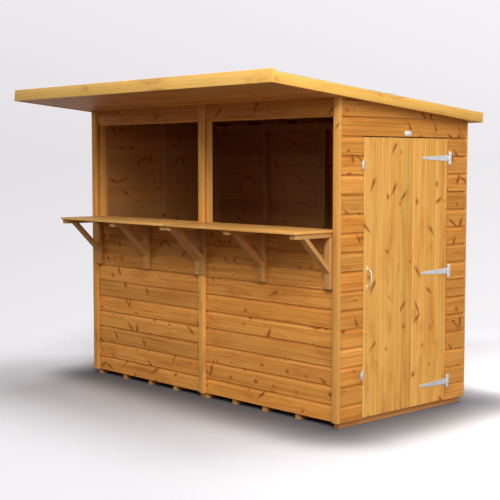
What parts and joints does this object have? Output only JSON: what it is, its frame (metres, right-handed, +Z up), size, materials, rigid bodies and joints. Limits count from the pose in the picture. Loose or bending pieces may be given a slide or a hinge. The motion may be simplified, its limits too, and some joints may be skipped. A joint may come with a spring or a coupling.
{
  "type": "bar shed",
  "caption": "Small timber garden bar: shiplap hut with a serving front, bracketed counter shelf, deep canopy roof and a ledged side door.",
  "frame": {"origin": "on the ground under the centre of the bounding box", "axes": "+X towards the door side, the serving front faces -Y, +Z up"},
  "size_m": [2.5332, 1.8316, 2.0064],
  "materials": {
    "floor_timber": "matte rough-sawn",
    "cladding": "dip-treated softwood, matte",
    "framing": "planed softwood, matte",
    "trim": "planed softwood, matte",
    "door_boards": "dip-treated softwood, matte",
    "door_frame": "planed softwood, matte",
    "fascia": "planed softwood, matte",
    "roof_boards": "dip-treated softwood, matte",
    "counter": "planed softwood, matte",
    "bracket": "planed softwood, matte",
    "zinc": "zinc plated, satin",
    "felt": "mineral felt, coarse",
    "plate": "plain white, satin"
  },
  "bodies": {
    "shell": {"floor_bearers": "floor_timber", "floor_boards": "floor_timber", "front_cladding_left": "cladding", "front_cladding_right": "cladding", "front_header_left": "cladding", "front_header_right": "cladding", "front_studs": "framing", "front_rails": "framing", "front_corner_trims": "trim", "centre_cover_strip": "trim", "back_cladding_left": "cladding", "back_cladding_right": "cladding", "back_studs": "framing", "back_rails": "framing", "back_trims": "trim", "left_cladding": "cladding", "left_studs": "framing", "left_rails": "framing", "right_cladding_front": "cladding", "right_cladding_back": "cladding", "right_cladding_over_door": "cladding", "door_posts": "framing", "right_rails": "framing", "hinge_plates": "zinc", "turn_button_screws": "zinc", "blank_plate": "plate", "roof_soffits": "roof_boards", "roof_rafters": "framing", "roof_deck": "roof_boards", "front_fascia": "fascia", "back_fascia": "fascia", "side_fascias": "fascia", "roof_felt": "felt", "counter_boards": "counter", "bracket_posts": "bracket", "bracket_arms": "bracket", "bracket_braces": "bracket"},
    "door": {"door_boards": "door_boards", "door_ledges": "door_frame", "door_braces": "door_frame", "hinge_straps": "zinc", "door_handle": "zinc"},
    "upper_turn_button": {"upper_turn_button": "zinc"},
    "lower_turn_button": {"lower_turn_button": "zinc"}
  },
  "joints": [
    {"name": "door_hinge", "type": "hinge", "parent": "shell", "child": "door", "pos_m": [1.206, 0.654, 0.849], "axis": [0, 0, 1], "range_deg": [0, 170]},
    {"name": "upper_button_pivot", "type": "hinge", "parent": "shell", "child": "upper_turn_button", "pos_m": [1.206, -0.137, 1.5045], "axis": [1, 0, 0], "range_deg": [0, 90]},
    {"name": "lower_button_pivot", "type": "hinge", "parent": "shell", "child": "lower_turn_button", "pos_m": [1.206, -0.137, 0.291], "axis": [1, 0, 0], "range_deg": [0, 90]}
  ]
}
